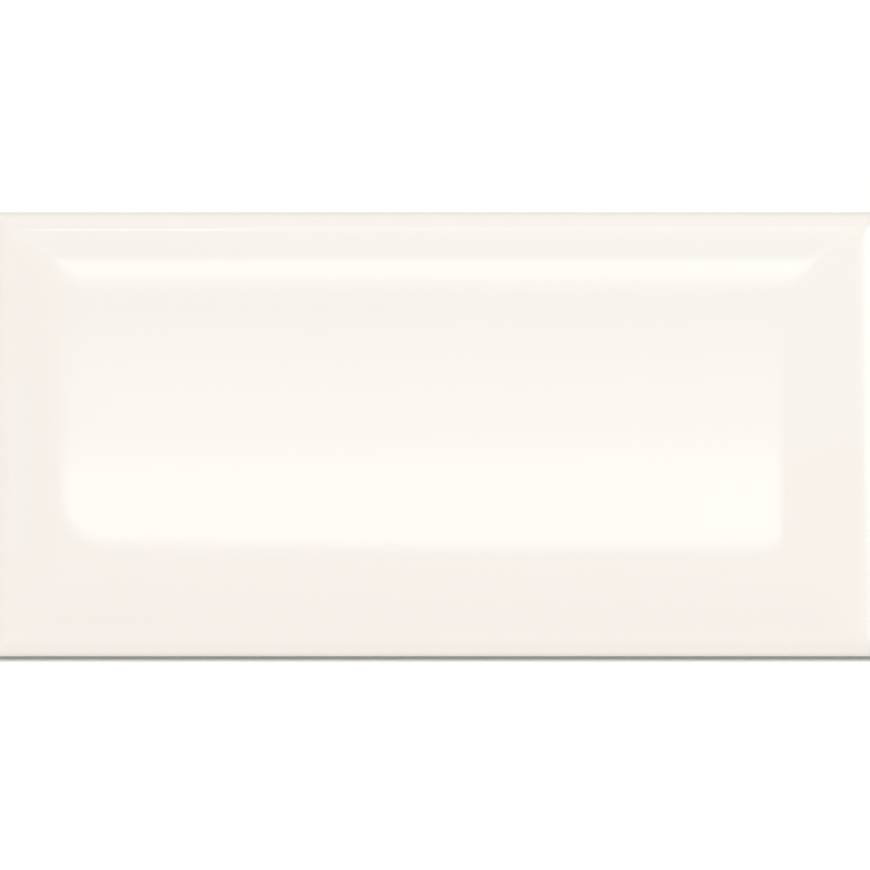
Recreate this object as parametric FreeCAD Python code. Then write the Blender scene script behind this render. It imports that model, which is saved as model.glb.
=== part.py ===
import FreeCAD, Part
import math
import os

# Bevelled subway wall tile, pressed, glazed and fired as one piece.
# It lies on its back with the glazed face up. The origin is the middle of the back,
# +X runs along the tile's length, +Y across it, and +Z out of the glazed face.
# Sizes are in millimetres and degrees.

# Plan of the tile, and its thickness at the panel
tile_length = 150.0
tile_width = 75.0
tile_thickness = 8.0
corner_radius = 1.0

# Edge: a small glazed arris, then a cushioned fall that eases over into the bevel
arris_radius = 0.9
fall_radius = 12.0
edge_run = 3.5

# Bevel, and the wide round shoulder that leads from it onto the flat raised panel
bevel_angle = 18.0
bevel_run = 3.9
shoulder_radius = 30.0

# Back: a small chamfer at the foot of the sides, and shallow recesses that key the adhesive
heel_chamfer = 0.4
key_columns = 8
key_rows = 4
key_rib = 2.5
key_border = 4.0
key_depth = 0.5
key_draft = 30.0
key_corner = 1.5


def normal_at(tilt):
    """Direction, across a section, of a surface that leans outward by tilt degrees."""
    angle = math.radians(tilt)
    return FreeCAD.Vector(math.sin(angle), 0, math.cos(angle))


def arc_between(start, radius, tilt_from, tilt_to):
    """Rounded edge from start that turns from one outward tilt to the other, with its end point."""
    centre = start - normal_at(tilt_from) * radius
    middle = centre + normal_at((tilt_from + tilt_to) / 2) * radius
    end = centre + normal_at(tilt_to) * radius
    return Part.Arc(start, middle, end).toShape(), end


def rim_to_panel(half_span):
    """Edges of the glazed side of a section, from the top of the upright side to the flat panel."""
    fall_reach = edge_run - arris_radius + fall_radius * normal_at(bevel_angle).x
    fall_tilt = math.degrees(math.asin(fall_reach / (fall_radius - arris_radius)))
    arris_rise = arris_radius * normal_at(fall_tilt).z
    fall_rise = fall_radius * (normal_at(bevel_angle).z - normal_at(fall_tilt).z)
    bevel_rise = bevel_run * math.tan(math.radians(bevel_angle))
    shoulder_rise = shoulder_radius * (1 - normal_at(bevel_angle).z)
    side_top = tile_thickness - shoulder_rise - bevel_rise - fall_rise - arris_rise
    foot = FreeCAD.Vector(half_span, 0, side_top)

    arris, point = arc_between(foot, arris_radius, 90.0, fall_tilt)
    fall, point = arc_between(point, fall_radius, fall_tilt, bevel_angle)
    bevel_top = point + FreeCAD.Vector(-bevel_run, 0, bevel_rise)
    bevel = Part.makeLine(point, bevel_top)
    shoulder, panel_edge = arc_between(bevel_top, shoulder_radius, bevel_angle, 0.0)
    return [arris, fall, bevel, shoulder], foot, panel_edge


def section_face(half_span):
    """Closed section of the tile in the XZ plane, as wide as twice half_span."""
    right_edges, foot, panel_edge = rim_to_panel(half_span)
    heel_out = FreeCAD.Vector(half_span, 0, heel_chamfer)
    heel_in = FreeCAD.Vector(half_span - heel_chamfer, 0, 0)
    right_edges += [Part.makeLine(heel_out, foot), Part.makeLine(heel_in, heel_out)]

    middle = FreeCAD.Vector(0, 0, 0)
    across = FreeCAD.Vector(1, 0, 0)
    left_edges = [edge.mirror(middle, across) for edge in right_edges]
    panel = Part.makeLine(panel_edge, FreeCAD.Vector(-panel_edge.x, 0, panel_edge.z))
    back = Part.makeLine(heel_in, FreeCAD.Vector(-heel_in.x, 0, 0))
    outline = Part.__sortEdges__(right_edges + left_edges + [panel, back])
    return Part.Face(Part.Wire(outline)), panel_edge.z


def rounded_rectangle(length, width, radius, height):
    """Wire of a rectangle with round corners, about the origin, at the given height."""
    half_x = length / 2
    half_y = width / 2
    inner_x = half_x - radius
    inner_y = half_y - radius
    diagonal = radius * math.sqrt(0.5)
    edges = []
    for turn in range(4):
        along, across = (inner_x, inner_y) if turn % 2 == 0 else (inner_y, inner_x)
        reach = half_y if turn % 2 == 0 else half_x
        start = FreeCAD.Vector(-along, -reach, height)
        end = FreeCAD.Vector(along, -reach, height)
        corner = FreeCAD.Vector(along + diagonal, -across - diagonal, height)
        corner_end = FreeCAD.Vector(along + radius, -across, height)
        side = [Part.makeLine(start, end), Part.Arc(end, corner, corner_end).toShape()]
        for edge in side:
            edge.rotate(FreeCAD.Vector(0, 0, 0), FreeCAD.Vector(0, 0, 1), 90.0 * turn)
        edges += side
    return Part.Wire(edges)


def pressed_blank():
    """The tile with a plain back: two sections that cross, so that the bevels meet in mitred hips."""
    long_section, panel_height = section_face(tile_length / 2)
    cross_section, panel_height = section_face(tile_width / 2)
    long_section.translate(FreeCAD.Vector(0, -tile_width / 2, 0))
    long_bar = long_section.extrude(FreeCAD.Vector(0, tile_width, 0))
    cross_section.rotate(FreeCAD.Vector(0, 0, 0), FreeCAD.Vector(0, 0, 1), 90.0)
    cross_section.translate(FreeCAD.Vector(-tile_length / 2, 0, 0))
    cross_bar = cross_section.extrude(FreeCAD.Vector(tile_length, 0, 0))

    plan = Part.Face(rounded_rectangle(tile_length, tile_width, corner_radius, 0))
    plan_block = plan.extrude(FreeCAD.Vector(0, 0, panel_height))
    return long_bar.common(cross_bar).common(plan_block)


def recess_span(tile_span, count):
    """Size of one recess, when count of them and the ribs between fill the back inside its border."""
    return (tile_span - 2 * key_border - (count - 1) * key_rib) / count


def key_recess(length, width):
    """One drafted recess of the keyed back, at the origin, with its mouth on the back face."""
    inset = key_depth * math.tan(math.radians(key_draft))
    mouth_wire = rounded_rectangle(length, width, key_corner, 0)
    floor_wire = rounded_rectangle(length - 2 * inset, width - 2 * inset, key_corner - inset, key_depth)
    return Part.makeLoft([mouth_wire, floor_wire], True, True)


def keyed_tile():
    """The finished tile: the pressed blank with rows of recesses cut into its back."""
    recess_length = recess_span(tile_length, key_columns)
    recess_width = recess_span(tile_width, key_rows)
    recess = key_recess(recess_length, recess_width)
    recesses = []
    for column in range(key_columns):
        x = (column - (key_columns - 1) / 2) * (recess_length + key_rib)
        for row in range(key_rows):
            y = (row - (key_rows - 1) / 2) * (recess_width + key_rib)
            recesses.append(recess.translated(FreeCAD.Vector(x, y, 0)))
    return pressed_blank().cut(recesses)


tile = keyed_tile().Solids[0]
print("wall_tile", tile.isValid(), "volume", round(tile.Volume), "box", tile.BoundBox)

os.makedirs("parts", exist_ok=True)
tile.exportStep("parts/wall_tile.step")
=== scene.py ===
import math

import bmesh
import bpy
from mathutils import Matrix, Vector, noise


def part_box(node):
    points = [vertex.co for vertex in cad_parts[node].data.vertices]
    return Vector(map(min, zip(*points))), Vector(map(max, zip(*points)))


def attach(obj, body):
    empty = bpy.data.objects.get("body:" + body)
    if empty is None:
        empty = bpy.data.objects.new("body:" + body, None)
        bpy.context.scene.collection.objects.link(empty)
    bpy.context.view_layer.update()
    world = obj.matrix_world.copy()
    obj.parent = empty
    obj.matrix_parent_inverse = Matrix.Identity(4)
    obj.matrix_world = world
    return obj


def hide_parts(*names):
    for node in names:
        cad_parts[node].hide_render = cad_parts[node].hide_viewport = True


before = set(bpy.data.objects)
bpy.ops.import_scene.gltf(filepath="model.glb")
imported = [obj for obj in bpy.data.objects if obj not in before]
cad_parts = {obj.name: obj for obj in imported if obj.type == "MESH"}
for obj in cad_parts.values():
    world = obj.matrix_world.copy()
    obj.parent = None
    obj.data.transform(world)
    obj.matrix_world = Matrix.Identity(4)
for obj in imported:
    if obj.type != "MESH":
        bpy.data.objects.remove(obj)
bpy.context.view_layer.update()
tileLow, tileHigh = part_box("wall_tile")
mm = 0.001  # the frame is in metres, the tile's own sizes below are in millimetres
tiny = 1e-6  # mm, as good as nothing
print("frame loaded, tile box", [round(v / mm, 2) for v in tileHigh - tileLow], "mm")


def linear(hexColour):
    # sRGB hex to the linear colour that the shaders want
    parts = [int(hexColour[i:i + 2], 16) / 255 for i in (1, 3, 5)]
    return [c / 12.92 if c <= 0.04045 else ((c + 0.055) / 1.055) ** 2.4 for c in parts] + [1.0]


def clamped(value):
    return min(max(value, 0), 1)


def addNode(tree, kind, links=None, values=None, **settings):
    # one node: its settings, its fixed inputs and what feeds the others
    node = tree.nodes.new(kind)
    for name, value in settings.items():
        setattr(node, name, value)
    for socket, value in (values or {}).items():
        node.inputs[socket].default_value = value
    for socket, source in (links or {}).items():
        tree.links.new(source, node.inputs[socket])
    return node


def startMaterial(name):
    material = bpy.data.materials.new(name)
    material.use_nodes = True
    material.node_tree.nodes.clear()
    return material, material.node_tree


def addObject(name, data):
    obj = bpy.data.objects.new(name, data)
    bpy.context.scene.collection.objects.link(obj)
    return obj


# Tin-white gloss glaze, sprayed on and fired: opaque cream with a wet-looking skin, a touch whiter where
# it has run together at the foot of the bevel, and greyer on the arris: thin glaze, with painted shade
# along the edge
glazeLook = {
    "body": "#F4EEE7",
    "pooled": "#F5EFE8",
    # grey of the arris: thin glaze, darkened further as painted shade along the edge
    "thinGlazeAndEdgeShade": "#E1DFD9",
    "plainDepth": 0.5,     # glaze depth on the open face, from 0 where it is thin to 1 where it has pooled
    "poolWidth": 1.2,      # mm either side of the foot of the bevel
    "thinAndShadeWidth": 0.42,     # mm in from the arris, over which the thin glaze and the painted edge shade fade out
    "roughness": 0.03,
    "ior": 1.5,
    "cloudSize": 38.0,     # mm, slow drift of tone and gloss over the face
    "cloudDetail": 2.0,
    "toneDrift": 0.008,    # share of the tone, either way
    "glossDrift": 0.2,     # share of the roughness, either way
    "peelSize": 2.4,       # mm, the faint orange peel of a sprayed coat
    "peelDetail": 1.0,
    "peelHeight": 0.0012,  # mm
}


def glossGlaze():
    look = glazeLook
    material, tree = startMaterial("creamGlossGlaze")
    place = addNode(tree, "ShaderNodeTexCoord").outputs["Object"]
    depth = addNode(tree, "ShaderNodeAttribute", attribute_name="glazeDepthAndEdgeShade").outputs["Fac"]
    tone = addNode(tree, "ShaderNodeValToRGB", {"Fac": depth})
    ramp = tone.color_ramp
    # depth 0 is the arris grey: thin glaze, with painted shade along the edge
    ramp.elements[0].color = linear(look["thinGlazeAndEdgeShade"])
    ramp.elements[1].color = linear(look["pooled"])
    ramp.elements.new(look["plainDepth"]).color = linear(look["body"])
    clouds = addNode(tree, "ShaderNodeTexNoise", {"Vector": place},
                     {"Scale": 1 / (look["cloudSize"] * mm), "Detail": look["cloudDetail"]})
    drift = addNode(tree, "ShaderNodeMapRange", {"Value": clouds.outputs["Fac"]},
                    {"To Min": 1 - look["toneDrift"], "To Max": 1 + look["toneDrift"]})
    shade = addNode(tree, "ShaderNodeVectorMath",
                    {0: tone.outputs["Color"], "Scale": drift.outputs["Result"]}, operation="SCALE")
    peel = addNode(tree, "ShaderNodeTexNoise", {"Vector": place},
                   {"Scale": 1 / (look["peelSize"] * mm), "Detail": look["peelDetail"]})
    skin = addNode(tree, "ShaderNodeBump", {"Height": peel.outputs["Fac"]},
                   {"Strength": 1.0, "Distance": look["peelHeight"] * mm})
    gloss = addNode(tree, "ShaderNodeMapRange", {"Value": clouds.outputs["Fac"]},
                    {"To Min": look["roughness"] * (1 - look["glossDrift"]),
                     "To Max": look["roughness"] * (1 + look["glossDrift"])})
    shader = addNode(tree, "ShaderNodeBsdfPrincipled",
                     {"Base Color": shade.outputs["Vector"], "Roughness": gloss.outputs["Result"],
                      "Normal": skin.outputs["Normal"]}, {"IOR": look["ior"]})
    addNode(tree, "ShaderNodeOutputMaterial", {"Surface": shader.outputs["BSDF"]})
    return material


# White-body biscuit, dust-pressed and fired once: chalky, finely granular, with darker grog specks
biscuitLook = {
    "body": "#E6DBCB",
    "dusty": "#EFE7DB",
    "speck": "#A68F74",
    "roughness": 0.9,
    "ior": 1.5,
    "cloudSize": 16.0,     # mm, patches that hold more of the press dust
    "cloudDetail": 4.0,
    "dustFrom": 0.35,      # cloud level at which the dust sets in, and at which it is full
    "dustTo": 0.7,
    "speckSpacing": 3.2,   # mm
    "speckCore": 0.05,     # radius of a speck's dark middle and of its edge, in spacings
    "speckEdge": 0.1,
    "speckStrength": 0.7,
    "grainSize": 0.5,      # mm, coarser than the real grain so that it shows
    "grainDetail": 3.0,
    "grainBreak": 0.6,     # how strong the finer grain is
    "grainHeight": 0.035,  # mm
}


def biscuit():
    look = biscuitLook
    material, tree = startMaterial("pressedBiscuit")
    place = addNode(tree, "ShaderNodeTexCoord").outputs["Object"]
    clouds = addNode(tree, "ShaderNodeTexNoise", {"Vector": place},
                     {"Scale": 1 / (look["cloudSize"] * mm), "Detail": look["cloudDetail"]})
    base = addNode(tree, "ShaderNodeValToRGB", {"Fac": clouds.outputs["Fac"]})
    low, high = base.color_ramp.elements
    low.position = look["dustFrom"]
    low.color = linear(look["body"])
    high.position = look["dustTo"]
    high.color = linear(look["dusty"])
    cells = addNode(tree, "ShaderNodeTexVoronoi", {"Vector": place},
                    {"Scale": 1 / (look["speckSpacing"] * mm)})
    specks = addNode(tree, "ShaderNodeMapRange", {"Value": cells.outputs["Distance"]},
                     {"From Min": look["speckCore"], "From Max": look["speckEdge"],
                      "To Min": look["speckStrength"], "To Max": 0.0})
    colour = addNode(tree, "ShaderNodeMix", {0: specks.outputs["Result"], 6: base.outputs["Color"]},
                     {7: linear(look["speck"])}, data_type="RGBA")
    grain = addNode(tree, "ShaderNodeTexNoise", {"Vector": place},
                    {"Scale": 1 / (look["grainSize"] * mm), "Detail": look["grainDetail"],
                     "Roughness": look["grainBreak"]})
    grit = addNode(tree, "ShaderNodeBump", {"Height": grain.outputs["Fac"]},
                   {"Strength": 1.0, "Distance": look["grainHeight"] * mm})
    shader = addNode(tree, "ShaderNodeBsdfPrincipled",
                     {"Base Color": colour.outputs[2], "Normal": grit.outputs["Normal"]},
                     {"Roughness": look["roughness"], "IOR": look["ior"]})
    addNode(tree, "ShaderNodeOutputMaterial", {"Surface": shader.outputs["BSDF"]})
    return material


# The tile is one mesh, glazed on its face and down part of its sides, bare biscuit below and behind.
# Its face, in mm from the edge inwards: arris, cushioned fall, bevel, shoulder, flat panel
tileShape = {
    "cornerRadius": 1.0,
    "arrisRadius": 0.9,
    "fallRadius": 12.0,
    "edgeRun": 3.5,        # width of arris and fall together
    "bevelAngle": 18.0,    # degrees
    "bevelRun": 3.9,
    "shoulderRadius": 30.0,
    "hipBlend": 4.0,       # how far the glaze softens the mitred hips
    "waveHeight": 0.012,   # slow unevenness of the fired face
    "waveSize": 26.0,
    "waveSeed": 7.0,       # which slice of the noise the face takes
    "arrisSteps": 7,       # mesh steps over each stretch, close where it bends most
    "fallSteps": 14,
    "bevelSteps": 9,
    "shoulderSteps": 26,
    "panelStep": 1.5,      # mesh spacing on the flat panel
    "sharpAngle": 38.0,    # degrees, an edge that turns more than this stays crisp
}

halfX = (tileHigh.x - tileLow.x) / 2 / mm
halfY = (tileHigh.y - tileLow.y) / 2 / mm
panelZ = (tileHigh.z - tileLow.z) / mm


def sectionOf(shape):
    # insets from the tile's edge where the section changes, and the heights that go with them
    bevel = math.radians(shape["bevelAngle"])
    fallReach = shape["edgeRun"] - shape["arrisRadius"] + shape["fallRadius"] * math.sin(bevel)
    fallTilt = math.asin(fallReach / (shape["fallRadius"] - shape["arrisRadius"]))
    bevelTop = panelZ - shape["shoulderRadius"] * (1 - math.cos(bevel))
    bevelFoot = bevelTop - shape["bevelRun"] * math.tan(bevel)
    fallMiddle = bevelFoot - shape["fallRadius"] * math.cos(bevel)
    bevelEnd = shape["edgeRun"] + shape["bevelRun"]
    return {
        "fallTilt": fallTilt,
        "arrisEnd": shape["arrisRadius"] * (1 - math.sin(fallTilt)),
        "bevelEnd": bevelEnd,
        "shoulderEnd": bevelEnd + shape["shoulderRadius"] * math.sin(bevel),
        "bevelTop": bevelTop,
        "bevelSlope": math.tan(bevel),
        "fallCentre": (shape["edgeRun"] + shape["fallRadius"] * math.sin(bevel), fallMiddle),
        "sideTop": fallMiddle + (shape["fallRadius"] - shape["arrisRadius"]) * math.cos(fallTilt),
    }


section = sectionOf(tileShape)


def arcHeight(inset, centre, radius):
    return centre[1] + math.sqrt(max(radius ** 2 - (inset - centre[0]) ** 2, 0))


def faceHeight(inset):
    # height of the glazed face at a distance in from the tile's edge
    shape = tileShape
    if inset <= section["arrisEnd"]:
        return arcHeight(inset, (shape["arrisRadius"], section["sideTop"]), shape["arrisRadius"])
    if inset <= shape["edgeRun"]:
        return arcHeight(inset, section["fallCentre"], shape["fallRadius"])
    if inset <= section["bevelEnd"]:
        return section["bevelTop"] - (section["bevelEnd"] - inset) * section["bevelSlope"]
    if inset <= section["shoulderEnd"]:
        centre = (section["shoulderEnd"], panelZ - shape["shoulderRadius"])
        return arcHeight(inset, centre, shape["shoulderRadius"])
    return panelZ


def rimInsets():
    # mesh lines across the rim, from the edge to the panel
    shape = tileShape
    turn = math.pi / 2 - section["fallTilt"]
    steps = shape["arrisSteps"]
    insets = [shape["arrisRadius"] * (1 - math.cos(turn * i / steps)) for i in range(steps)]
    stretches = ((section["arrisEnd"], shape["edgeRun"], shape["fallSteps"]),
                 (shape["edgeRun"], section["bevelEnd"], shape["bevelSteps"]),
                 (section["bevelEnd"], section["shoulderEnd"], shape["shoulderSteps"]))
    for start, end, steps in stretches:
        insets += [start + (end - start) * i / steps for i in range(steps)]
    return insets


def meshLines(half):
    # mesh lines from one edge of the tile to the other
    inner = half - section["shoulderEnd"]
    steps = max(2, round(2 * inner / tileShape["panelStep"]))
    left = [inset - half for inset in rimInsets()]
    middle = [-inner + 2 * inner * i / steps for i in range(steps + 1)]
    return left + middle + [-x for x in reversed(left)]


def roundCorner(x, y):
    # takes the mesh's square corner onto the tile's small plan radius
    radius = tileShape["cornerRadius"]
    u = (abs(x) - halfX + radius) / radius
    v = (abs(y) - halfY + radius) / radius
    if u <= 0 or v <= 0:
        return x, y, min(halfX - abs(x), halfY - abs(y)), False
    uRound = u * math.sqrt(1 - v * v / 2)
    vRound = v * math.sqrt(1 - u * u / 2)
    newX = math.copysign(halfX - radius + uRound * radius, x)
    newY = math.copysign(halfY - radius + vRound * radius, y)
    return newX, newY, max(radius * (1 - math.hypot(uRound, vRound)), 0), True


def facePoint(x, y):
    shape = tileShape
    x, y, inset, corner = roundCorner(x, y)
    if not corner:
        # the mitre, softened by the glaze more and more from the edge inwards
        radius = shape["cornerRadius"]
        share = clamped((inset - radius) / (section["bevelEnd"] - radius))
        blend = max(shape["hipBlend"] * share, tiny)
        gap = abs((halfX - abs(x)) - (halfY - abs(y)))
        inset -= max(blend - gap, 0) ** 2 / (4 * blend)
    wave = noise.noise(Vector((x, y, shape["waveSeed"])) / shape["waveSize"])
    uneven = clamped((1 + wave) / 2) * clamped(inset / shape["edgeRun"])  # none at the arris
    return Vector((x, y, faceHeight(inset) - shape["waveHeight"] * uneven)), inset


def glazeDepthAndEdgeShadeAt(inset):
    # thin over the arris, where the low depth also paints shade along the edge, and pooled where the glaze
    # has run together at the foot of the bevel
    look = glazeLook
    pool = math.exp(-((inset - tileShape["edgeRun"]) / look["poolWidth"]) ** 2)
    thinGlazeAndEdgeShade = math.exp(-(inset / look["thinAndShadeWidth"]) ** 2)
    return look["plainDepth"] * (1 - thinGlazeAndEdgeShade) + (1 - look["plainDepth"]) * pool


def addFace(bm, depthAndShadeLayer):
    xs, ys = meshLines(halfX), meshLines(halfY)
    rows = []
    for y in ys:
        row = []
        for x in xs:
            place, inset = facePoint(x, y)
            vertex = bm.verts.new(place)
            vertex[depthAndShadeLayer] = glazeDepthAndEdgeShadeAt(inset)
            row.append(vertex)
        rows.append(row)
    for lower, upper in zip(rows, rows[1:]):
        for i in range(len(xs) - 1):
            bm.faces.new((lower[i], lower[i + 1], upper[i + 1], upper[i]))
    # the rim, once round, anticlockwise from above
    rim = rows[0][:-1] + [row[-1] for row in rows[:-1]]
    rim += list(reversed(rows[-1][1:])) + [row[0] for row in reversed(rows[1:])]
    return rim


# The sides, in mm: glaze to its wandering lower edge, then bare biscuit to the chamfered heel
sideShape = {
    "glazeLine": 1.35,     # height at which the glaze stops
    "glazeWander": 0.28,   # how far that line wanders up and down
    "wanderSize": 9.0,     # length of its waves
    "waverSize": 3.1,      # length and share of the short waves on top of them
    "waverShare": 0.4,
    "glazeStep": 0.14,     # the glaze's own thickness at its lower edge
    "glazeRings": ((0.55, 0.0), (0.25, 0.0), (0.1, 0.02), (0.03, 0.06), (0.0, 0.11)),  # share up, inset
    "edgeDepth": 0.75,     # glaze depth at that edge and at the top of the side, where the low depth carries the arris's painted shade down a little
    "topDepth": 0.25,
    "bareRings": (0.0, 0.45, 1.0),  # share of the way from the glaze to the heel
    "heelChamfer": 0.4,
}


def outwardAt(place):
    # which way is out of the tile at a point of its rim
    radius = tileShape["cornerRadius"]
    centre = Vector((math.copysign(halfX - radius, place.x), math.copysign(halfY - radius, place.y)))
    outX = abs(place.x) - (halfX - radius)
    outY = abs(place.y) - (halfY - radius)
    if outX > tiny and outY > tiny:
        return (Vector((place.x, place.y)) - centre).normalized()
    if outX > outY:
        return Vector((math.copysign(1, place.x), 0))
    return Vector((0, math.copysign(1, place.y)))


def glazeLineAt(place):
    side = sideShape
    wander = noise.noise(Vector((place.x, place.y, 0)) / side["wanderSize"])
    wander += side["waverShare"] * noise.noise(place / side["waverSize"])
    return side["glazeLine"] + side["glazeWander"] * wander


def addSides(bm, rim, depthAndShadeLayer):
    side = sideShape
    rings = [("glaze", share, inset) for share, inset in side["glazeRings"]]
    rings += [("bare", share, side["glazeStep"]) for share in side["bareRings"]]
    rings.append(("foot", 0.0, side["glazeStep"] + side["heelChamfer"]))
    last = rim
    for kind, share, inset in rings:
        ring = []
        for vertex in rim:
            place = vertex.co
            out = outwardAt(place)
            line = glazeLineAt(place)
            depth = glazeLook["plainDepth"]
            if kind == "glaze":
                z = line + (section["sideTop"] - line) * share
                depth = side["edgeDepth"] + (side["topDepth"] - side["edgeDepth"]) * share
            elif kind == "bare":
                z = line + (side["heelChamfer"] - line) * share
            else:
                z = 0.0
            new = bm.verts.new((place.x - out.x * inset, place.y - out.y * inset, z))
            new[depthAndShadeLayer] = depth
            ring.append(new)
        for i in range(len(rim)):
            j = (i + 1) % len(rim)
            face = bm.faces.new((last[i], ring[i], ring[j], last[j]))
            face.material_index = 0 if kind == "glaze" else 1
        last = ring
    return last


# The back, in mm: a grid of drafted recesses that key the adhesive, with ribs between them
backShape = {
    "columns": 8,
    "rows": 4,
    "rib": 2.5,
    "border": 4.0,
    "depth": 0.5,
    "draft": 30.0,         # degrees
    "corner": 1.5,         # plan radius at a recess's mouth, and the least it has further down
    "leastCorner": 0.3,
    "cornerSteps": 6,
    "edgeRound": 0.08,     # the unit of the two roundings below
    "mouthRound": ((0, 0), (0.4, 0.3), (1, 1)),  # the worn mouth: inset and depth
    "floorRound": ((0, 1), (1.2, 0.2), (3, 0)),  # foot of the wall: inset past it and height off the floor
}


def recessRing(bm, middle, length, width, radius, z):
    ring = []
    steps = backShape["cornerSteps"]
    for sideX, sideY, start in ((1, 1, 0), (-1, 1, 90), (-1, -1, 180), (1, -1, 270)):
        for i in range(steps + 1):
            angle = math.radians(start + 90 * i / steps)
            x = middle.x + sideX * (length / 2 - radius) + radius * math.cos(angle)
            y = middle.y + sideY * (width / 2 - radius) + radius * math.sin(angle)
            ring.append(bm.verts.new((x, y, z)))
    return ring


def addBack(bm, heel):
    back = backShape
    columns, rows, rib = back["columns"], back["rows"], back["rib"]
    length = (2 * halfX - 2 * back["border"] - (columns - 1) * rib) / columns
    width = (2 * halfY - 2 * back["border"] - (rows - 1) * rib) / rows
    pitchX, pitchY = length + rib, width + rib
    depth, soft, steps = back["depth"], back["edgeRound"], back["cornerSteps"]
    draft = depth * math.tan(math.radians(back["draft"]))
    rings = [(soft * across, soft * down) for across, down in back["mouthRound"]]
    rings += [(draft + soft * across, depth - soft * up) for across, up in back["floorRound"]]
    corners = {}
    for column in range(columns + 1):
        for row in range(rows + 1):
            x, y = (column - columns / 2) * pitchX, (row - rows / 2) * pitchY
            corners[column, row] = bm.verts.new((x, y, 0))
    made = []
    for column in range(columns):
        for row in range(rows):
            middle = Vector(((column - (columns - 1) / 2) * pitchX, (row - (rows - 1) / 2) * pitchY))
            last = None
            for inset, z in rings:
                radius = max(back["corner"] - inset, back["leastCorner"])
                ring = recessRing(bm, middle, length - 2 * inset, width - 2 * inset, radius, z)
                if last:
                    for i in range(len(ring)):
                        j = (i + 1) % len(ring)
                        made.append(bm.faces.new((last[i], last[j], ring[j], ring[i])))
                else:
                    mouth = ring
                last = ring
            made.append(bm.faces.new(last))
            # flat ribs round this recess, up to the middle of each rib
            posts = [corners[column + 1, row + 1], corners[column, row + 1],
                     corners[column, row], corners[column + 1, row]]
            for quarter, post in enumerate(posts):
                arc = mouth[quarter * (steps + 1):(quarter + 1) * (steps + 1)]
                for first, second in zip(arc, arc[1:]):
                    made.append(bm.faces.new((post, second, first)))
                nextPost = posts[(quarter + 1) % 4]
                nextStart = mouth[((quarter + 1) * (steps + 1)) % len(mouth)]
                made.append(bm.faces.new((post, nextPost, nextStart, arc[-1])))
    # the plain border between the recesses and the heel
    field = [corners[i, 0] for i in range(columns)] + [corners[columns, i] for i in range(rows)]
    field += [corners[i, rows] for i in range(columns, 0, -1)]
    field += [corners[0, i] for i in range(rows, 0, -1)]
    edges = []
    for loop in (heel, field):
        for i in range(len(loop)):
            pair = (loop[i], loop[(i + 1) % len(loop)])
            edges.append(bm.edges.get(pair) or bm.edges.new(pair))
    filled = bmesh.ops.triangle_fill(bm, use_beauty=True, use_dissolve=False, edges=edges)
    made += [item for item in filled["geom"] if isinstance(item, bmesh.types.BMFace)]
    for face in made:
        face.material_index = 1


def buildTile():
    bm = bmesh.new()
    depthAndShadeLayer = bm.verts.layers.float.new("glazeDepthAndEdgeShade")
    rim = addFace(bm, depthAndShadeLayer)
    heel = addSides(bm, rim, depthAndShadeLayer)
    addBack(bm, heel)
    bmesh.ops.scale(bm, vec=(mm, mm, mm), verts=bm.verts)
    bmesh.ops.translate(bm, vec=(0, 0, tileLow.z), verts=bm.verts)
    bmesh.ops.recalc_face_normals(bm, faces=bm.faces)
    for face in bm.faces:
        face.smooth = True
    mesh = bpy.data.meshes.new("glazedTile")
    bm.to_mesh(mesh)
    bm.free()
    mesh.set_sharp_from_angle(angle=math.radians(tileShape["sharpAngle"]))
    mesh.materials.append(glossGlaze())
    mesh.materials.append(biscuit())
    mesh.calc_loop_triangles()
    print("tile mesh:", len(mesh.vertices), "points,", len(mesh.loop_triangles), "triangles")
    return addObject("glazedTile", mesh)


tile = buildTile()
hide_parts("wall_tile")
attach(tile, "root")

# Pale studio floor: light grey paint that its own lamp brings up to white, and that takes the shadow
floorLook = {
    "size": 6.0,           # metres
    "gap": 0.00005,        # metres below the tile's back
    "opening": 0.7,        # mm inside the tile's outline, so that its back can be looked at from below
    "colour": "#A8A7A4",
    "lift": 0.03,          # what the camera sees on top of the lit paint
}


def seenRays(tree):
    # 1 for what the camera sees, in gloss and through glass too, and 0 for light on its way
    path = addNode(tree, "ShaderNodeLightPath")
    seen = path.outputs["Is Camera Ray"]
    for kind in ("Is Glossy Ray", "Is Transmission Ray"):
        either = addNode(tree, "ShaderNodeMath", {0: seen, 1: path.outputs[kind]}, operation="MAXIMUM")
        seen = either.outputs[0]
    return seen


def buildFloor():
    look = floorLook
    material, tree = startMaterial("paleStudioFloor")
    lift = addNode(tree, "ShaderNodeMath", {0: seenRays(tree)}, {1: look["lift"]}, operation="MULTIPLY")
    paint = addNode(tree, "ShaderNodeBsdfDiffuse", None, {"Color": linear(look["colour"])})
    glow = addNode(tree, "ShaderNodeEmission", {"Strength": lift.outputs[0]})
    both = addNode(tree, "ShaderNodeAddShader", {0: paint.outputs[0], 1: glow.outputs[0]})
    clear = addNode(tree, "ShaderNodeBsdfTransparent")
    side = addNode(tree, "ShaderNodeNewGeometry").outputs["Backfacing"]  # see-through from below
    mixed = addNode(tree, "ShaderNodeMixShader", {0: side, 1: both.outputs[0], 2: clear.outputs[0]})
    addNode(tree, "ShaderNodeOutputMaterial", {"Surface": mixed.outputs[0]})
    outer = (look["size"] / 2, look["size"] / 2)
    inner = ((halfX - look["opening"]) * mm, (halfY - look["opening"]) * mm)
    corners = []
    for x, y in (outer, inner):
        corners += [(-x, -y, 0), (x, -y, 0), (x, y, 0), (-x, y, 0)]
    sides = [(i, (i + 1) % 4, (i + 1) % 4 + 4, i + 4) for i in range(4)]
    mesh = bpy.data.meshes.new("studioFloor")
    mesh.from_pydata(corners, [], sides)
    mesh.materials.append(material)
    floor = addObject("studioFloor", mesh)
    floor.location.z = tileLow.z - look["gap"]
    return floor


floor = buildFloor()
print("floor laid,", floorLook["size"], "m wide")

# Even white surround: how much light it gives, and what the camera and the gloss see of it
worldLook = {"light": 0.76, "seen": 1.0}


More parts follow.
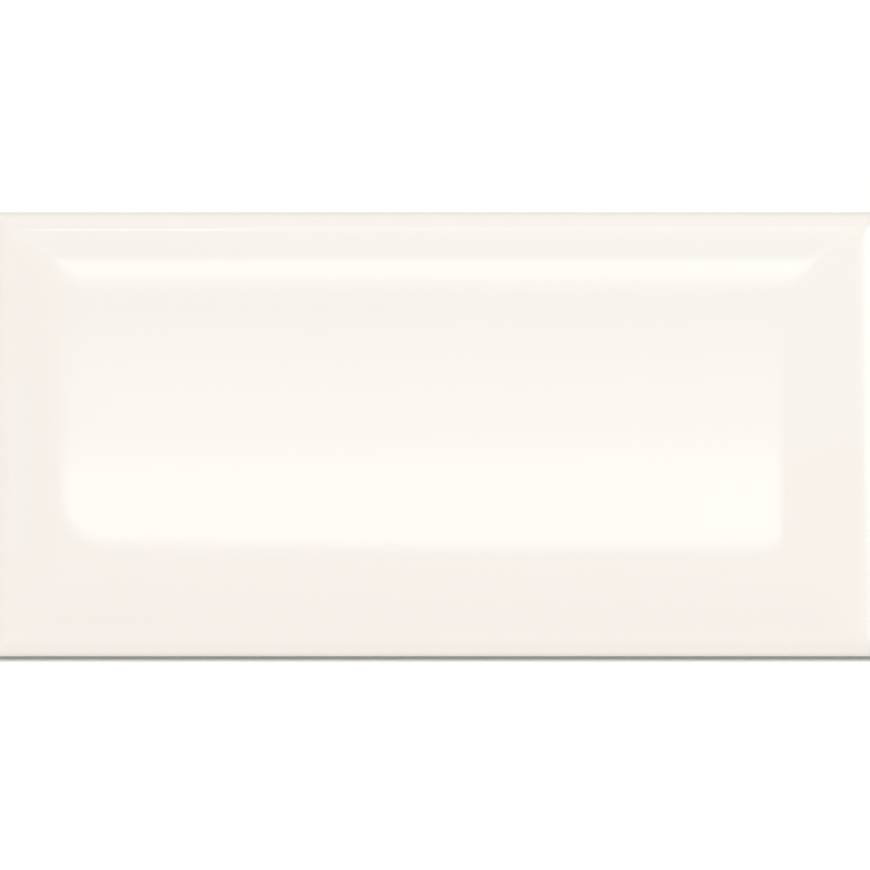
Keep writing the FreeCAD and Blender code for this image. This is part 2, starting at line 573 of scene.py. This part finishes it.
def buildWorld():
    world = bpy.data.worlds.new("studioSurround")
    bpy.context.scene.world = world
    world.use_nodes = True
    tree = world.node_tree
    tree.nodes.clear()
    level = addNode(tree, "ShaderNodeMapRange", {"Value": seenRays(tree)},
                    {"To Min": worldLook["light"], "To Max": worldLook["seen"]})
    surround = addNode(tree, "ShaderNodeBackground", {"Strength": level.outputs["Result"]},
                       {"Color": (1, 1, 1, 1)})
    addNode(tree, "ShaderNodeOutputWorld", {"Surface": surround.outputs[0]})


# Three lamps: a softbox over the tile, a sun for the floor that throws the tile's shadow on it,
# and a weaker sun that rakes the tile's back from below
softboxLook = {"place": (0.14, 0.2, 1.3), "size": 0.9, "power": 5.4}  # metres and watts
floorLampLook = {"lean": 17.0, "turn": 2.0, "spread": 13.0, "strength": 6.3}  # degrees, and strength
underLampLook = {"aim": (0.8, 0.5, 0.55), "spread": 8.0, "strength": 1.0}


def addLamp(name, kind, energy, lit):
    # a lamp for one object only, and out of sight of the gloss
    lamp = bpy.data.lights.new(name, kind)
    lamp.energy = energy
    lampObject = addObject(name, lamp)
    lampObject.visible_glossy = False
    group = bpy.data.collections.new(name + "Lights")
    group.objects.link(lit)
    lampObject.light_linking.receiver_collection = group
    return lampObject


def addLamps():
    softbox = addLamp("overheadSoftbox", "AREA", softboxLook["power"], tile)
    softbox.data.size = softboxLook["size"]
    softbox.location = softboxLook["place"]
    softbox.rotation_euler = (-softbox.location).to_track_quat("-Z", "Y").to_euler()
    sun = addLamp("floorLamp", "SUN", floorLampLook["strength"], floor)
    sun.data.angle = math.radians(floorLampLook["spread"])
    sun.rotation_euler = (math.radians(-floorLampLook["lean"]), math.radians(floorLampLook["turn"]), 0)
    under = addLamp("underLamp", "SUN", underLampLook["strength"], tile)
    under.data.angle = math.radians(underLampLook["spread"])
    under.rotation_euler = Vector(underLampLook["aim"]).to_track_quat("-Z", "Y").to_euler()


# Glowing cards that only the gloss reflects. Centre and size are in metres; across and up say where
# on the way from clear edge to clear edge a card has which share of its glow; a cut fades it in along
# a slant, by its slope, where it starts and where it ends; an upright card stands beside the table
cardColour = "#DDF8F2"  # a cool white, which the warm glaze gives back as plain white
cardLook = {
    # the wide soft window on the panel
    "panelStrip": {"centre": (-0.2121, 0.0025, 1.0), "size": (0.7758, 0.121), "glow": 3.6,
                   "across": ((0.03, 0), (0.1, 0.22), (0.23, 0.8), (0.31, 0.98), (0.983, 1)),
                   "up": ((0.07, 1), (0.3, 1), (0.51, 0.53), (0.65, 0.5)), "cut": (0.3, 0.165, 0.27)},
    # the bright band along the upper shoulder
    "upperSoftbox": {"centre": (0.0, 0.54, 1.0), "size": (0.7, 0.56), "glow": 3.65,
                     "across": ((0.21, 0.92), (0.68, 0.95), (0.73, 1), (0.79, 1)),
                     "up": ((0.5, 1), (0.76, 1))},
    # the thin line along the upper fall, and its sharper left end
    "upperStrip": {"centre": (0.085, 1.2375, 1.01), "size": (0.47, 0.725), "glow": 2.45,
                   "across": ((0.09, 1), (0.9, 1)),
                   "up": ((0.1, 1), (0.24, 1), (0.39, 0.6), (0.6, 0.25))},
    "upperLamp": {"centre": (-0.1775, 0.985, 1.0), "size": (0.135, 0.13), "glow": 3.55,
                  "across": ((0.1, 1), (0.9, 1)), "up": ((0.15, 1), (0.7, 1))},
    # the lighter upper and right bevels, and a flag that keeps the left end down
    "ceilingGlow": {"centre": (0.6, 1.5, 1.2), "size": (2.2, 3.04), "glow": 1.55,
                    "across": ((0.12, 0.41), (0.318, 0.41), (0.373, 1), (0.9, 1)),
                    "up": ((0.02, 1), (0.9, 1))},
    "leftFlag": {"centre": (-0.4, 1.1, 1.2), "size": (0.7, 0.9), "glow": 0.8,
                 "across": ((0.1, 1), (0.75, 1)), "up": ((0.2, 1), (0.8, 1))},
    # the glint down the right edge, and a faint one on the left
    "rightWindow": {"centre": (0.75, 0.03, 0.4), "size": (0.34, 1.0), "glow": 6.8, "upright": True,
                    "across": ((0.1, 0.72), (0.24, 0.72), (0.32, 0.95), (0.95, 1)),
                    "up": ((0.08, 1), (0.99, 1)), "cut": (-0.228, 0.7, 0.2)},
    "leftSlit": {"centre": (-0.75, -0.0145, 0.727), "size": (0.085, 0.016), "glow": 1.8, "upright": True,
                 "across": ((0.15, 1), (0.85, 1)), "up": ((0.3, 1), (0.7, 1))},
}


def stageForGloss(name, mesh):
    # a studio piece that shows in the gloss alone and lights nothing else
    obj = addObject(name, mesh)
    obj.visible_camera = False
    obj.visible_diffuse = False
    obj.visible_shadow = False
    return obj


def addCard(name, card):
    material, tree = startMaterial(name)
    place = addNode(tree, "ShaderNodeTexCoord").outputs["Generated"]
    parts = addNode(tree, "ShaderNodeSeparateXYZ", {"Vector": place})
    levels = []
    for axis, stops in (("X", card["across"]), ("Y", card["up"])):
        ramp = addNode(tree, "ShaderNodeValToRGB", {"Fac": parts.outputs[axis]})
        edges = ramp.color_ramp.elements
        edges[0].color = edges[1].color = (0, 0, 0, 1)
        for position, level in stops:
            edges.new(position).color = (level, level, level, 1)
        levels.append(ramp.outputs["Color"])
    if "cut" in card:
        slope, start, end = card["cut"]
        slant = addNode(tree, "ShaderNodeMath", {0: parts.outputs["X"], 2: parts.outputs["Y"]}, {1: slope},
                        operation="MULTIPLY_ADD")
        fade = addNode(tree, "ShaderNodeMapRange", {"Value": slant.outputs[0]},
                       {"From Min": start, "From Max": end})
        levels.append(fade.outputs["Result"])
    share = levels[0]
    for level in levels[1:]:
        share = addNode(tree, "ShaderNodeMath", {0: share, 1: level}, operation="MULTIPLY").outputs[0]
    clear = addNode(tree, "ShaderNodeBsdfTransparent")
    glow = addNode(tree, "ShaderNodeEmission", None,
                   {"Color": linear(cardColour), "Strength": card["glow"]})
    mixed = addNode(tree, "ShaderNodeMixShader", {0: share, 1: clear.outputs[0], 2: glow.outputs[0]})
    addNode(tree, "ShaderNodeOutputMaterial", {"Surface": mixed.outputs[0]})
    x, y = card["size"][0] / 2, card["size"][1] / 2
    mesh = bpy.data.meshes.new(name)
    mesh.from_pydata([(-x, -y, 0), (x, -y, 0), (x, y, 0), (-x, y, 0)], [], [(0, 1, 2, 3)])
    mesh.materials.append(material)
    obj = stageForGloss(name, mesh)
    obj.location = card["centre"]
    if card.get("upright"):
        obj.rotation_euler = (math.radians(90), 0, math.radians(90))  # its width along Y, facing the tile


# Grey cloth ring round the table, which only the gloss sees: it draws the panel and the bevels in
# views from the side, and stands highest off the corners, where the view from above never meets it
ringLook = {
    "distance": 1.3,       # metres
    "foot": 3.0,           # degrees above the floor
    "sideTop": 20.0,       # degrees, off the tile's sides
    "cornerTop": 46.0,     # degrees, off its corners
    "lowLevel": 0.65,      # brightness near the floor, where 1 is the white surround
    "highLevel": 0.2,
    "darkFrom": 10.0,      # degrees between which the one goes over into the other
    "darkTo": 30.0,
    "rows": ((0, 0), (0.2, 1), (0.5, 1), (0.75, 0.5), (1, 0)),  # share of its height, how dense it is
    "steps": 96,
}


def addRing():
    look = ringLook
    material, tree = startMaterial("greyClothRing")
    level = addNode(tree, "ShaderNodeAttribute", attribute_name="clothLevel")
    share = addNode(tree, "ShaderNodeAttribute", attribute_name="clothShare")
    cloth = addNode(tree, "ShaderNodeEmission", {"Strength": level.outputs["Fac"]})
    clear = addNode(tree, "ShaderNodeBsdfTransparent")
    mixed = addNode(tree, "ShaderNodeMixShader",
                    {0: share.outputs["Fac"], 1: clear.outputs[0], 2: cloth.outputs[0]})
    addNode(tree, "ShaderNodeOutputMaterial", {"Surface": mixed.outputs[0]})
    bm = bmesh.new()
    levelLayer = bm.verts.layers.float.new("clothLevel")
    shareLayer = bm.verts.layers.float.new("clothShare")
    columns = []
    for i in range(look["steps"]):
        around = 2 * math.pi * i / look["steps"]
        top = look["sideTop"] + (look["cornerTop"] - look["sideTop"]) * math.sin(2 * around) ** 2
        column = []
        for height, clothShare in look["rows"]:
            up = look["foot"] + (top - look["foot"]) * height
            flat = math.cos(math.radians(up))
            place = Vector((math.cos(around) * flat, math.sin(around) * flat, math.sin(math.radians(up))))
            vertex = bm.verts.new(place * look["distance"])
            dark = clamped((up - look["darkFrom"]) / (look["darkTo"] - look["darkFrom"]))
            vertex[levelLayer] = look["lowLevel"] + (look["highLevel"] - look["lowLevel"]) * dark
            vertex[shareLayer] = clothShare
            column.append(vertex)
        columns.append(column)
    for column, following in zip(columns, columns[1:] + columns[:1]):
        for row in range(len(column) - 1):
            bm.faces.new((column[row], following[row], following[row + 1], column[row + 1]))
    mesh = bpy.data.meshes.new("greyClothRing")
    bm.to_mesh(mesh)
    bm.free()
    mesh.materials.append(material)
    stageForGloss("greyClothRing", mesh)


buildWorld()
addLamps()
for name, card in cardLook.items():
    addCard(name, card)
addRing()
print("studio lit,", len(cardLook), "cards and a ring")

# Camera straight above the tile, framed as in the photograph
cameraLook = {
    "lens": 135.0,         # mm
    "sensor": 36.0,        # mm
    "imageWidth": 870,     # pixels
    "tileWidth": 888,      # pixels that the tile's length takes up
    "tileMiddle": (435.0, 434.25),  # pixel at the middle of the tile
}


def buildCamera():
    look = cameraLook
    camera = bpy.data.cameras.new("overheadCamera")
    camera.lens = look["lens"]
    camera.sensor_width = look["sensor"]
    pixel = (tileHigh.x - tileLow.x) / look["tileWidth"]
    distance = pixel * look["imageWidth"] * look["lens"] / look["sensor"]
    centre = (tileLow + tileHigh) / 2
    offX = (look["imageWidth"] / 2 - look["tileMiddle"][0]) * pixel
    offY = (look["tileMiddle"][1] - look["imageWidth"] / 2) * pixel
    rimZ = tileLow.z + section["sideTop"] * mm
    cameraObject = addObject("overheadCamera", camera)
    cameraObject.location = (centre.x + offX, centre.y + offY, rimZ + distance)
    bpy.context.scene.camera = cameraObject
    print("camera", round(distance, 3), "m above the rim")


buildCamera()
bpy.context.scene.view_settings.view_transform = "Standard"
